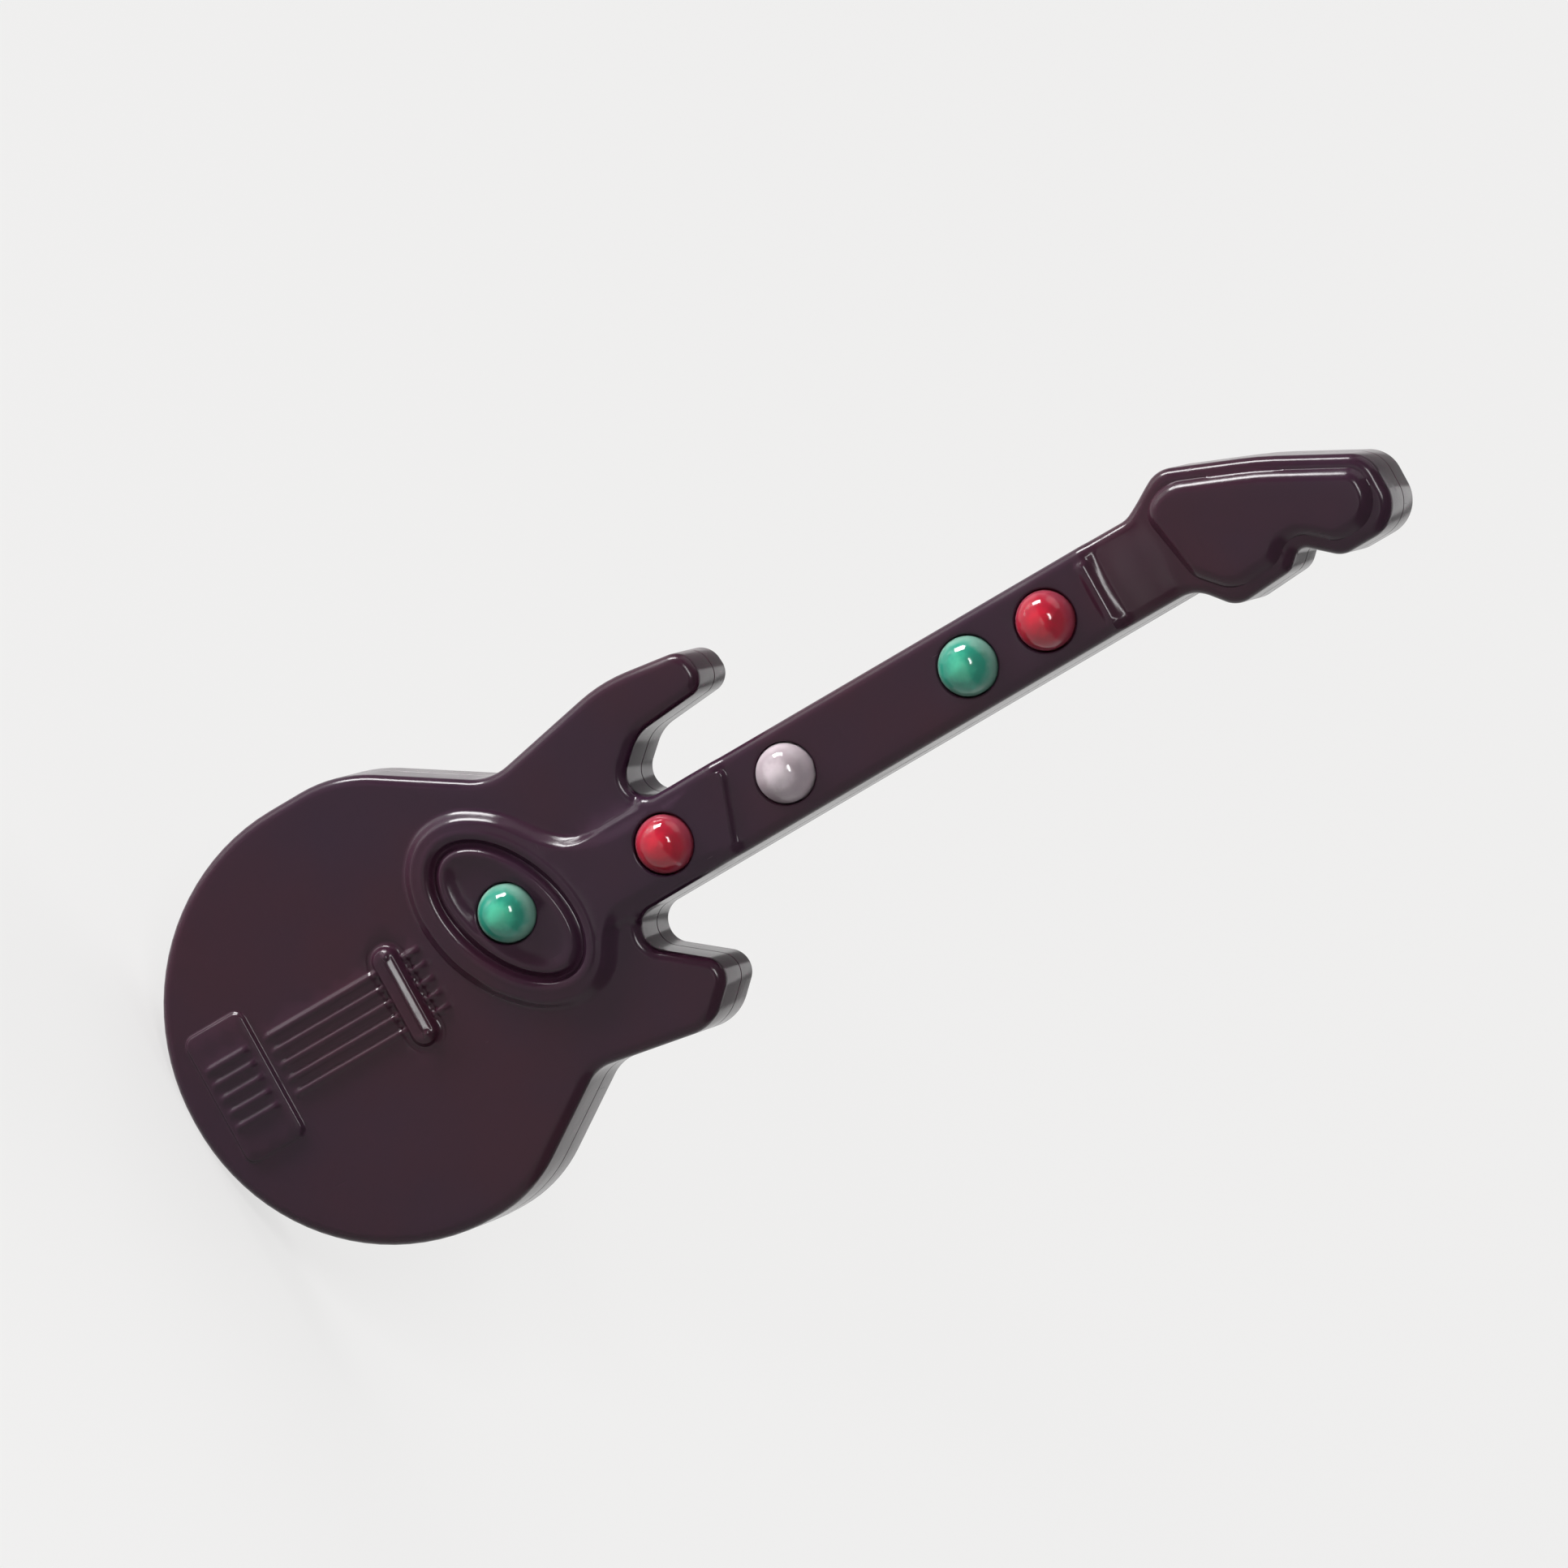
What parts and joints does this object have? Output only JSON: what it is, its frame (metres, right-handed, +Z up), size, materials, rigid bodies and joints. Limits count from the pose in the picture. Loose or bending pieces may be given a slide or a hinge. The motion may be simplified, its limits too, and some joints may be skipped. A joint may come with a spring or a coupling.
{
  "type": "toy electric guitar",
  "caption": "Small moulded electric guitar for a soft toy, with domed lights along the neck and a hollow post on its back.",
  "frame": {"origin": "middle of the hollow post where it leaves the flat back, 20 mm above the strap end", "axes": "+Z up the neck to the headstock, the face and its lights look towards -Y, +Y out of the back along the post, +X towards the short horn"},
  "size_m": [0.0388, 0.0167, 0.1161],
  "materials": {
    "shell_plastic": "glossy dark plum moulding",
    "green_lens": "clear tinted epoxy",
    "red_lens": "clear tinted epoxy",
    "clear_lens": "clear epoxy",
    "tinned_steel": "tinned",
    "board": "green solder mask",
    "chip_ceramic": "matt",
    "header_nylon": "satin",
    "red_insulation": "satin",
    "yellow_insulation": "satin",
    "white_insulation": "satin",
    "screw_steel": "zinc plated"
  },
  "bodies": {
    "root": {"front_shell": "shell_plastic", "back_shell": "shell_plastic", "body_light_lens": "green_lens", "neck_1_light_lens": "red_lens", "neck_2_light_lens": "clear_lens", "neck_3_light_lens": "green_lens", "neck_4_light_lens": "red_lens", "body_light_legs": "tinned_steel", "neck_1_light_legs": "tinned_steel", "neck_2_light_legs": "tinned_steel", "neck_3_light_legs": "tinned_steel", "neck_4_light_legs": "tinned_steel", "body_board": "board", "neck_board": "board", "resistors": "chip_ceramic", "lead_header": "header_nylon", "header_pins": "tinned_steel", "jumper_wire_red": "red_insulation", "jumper_wire_yellow": "yellow_insulation", "jumper_wire_white": "white_insulation", "shell_screws": "screw_steel", "board_screws": "screw_steel"}
  },
  "joints": []
}
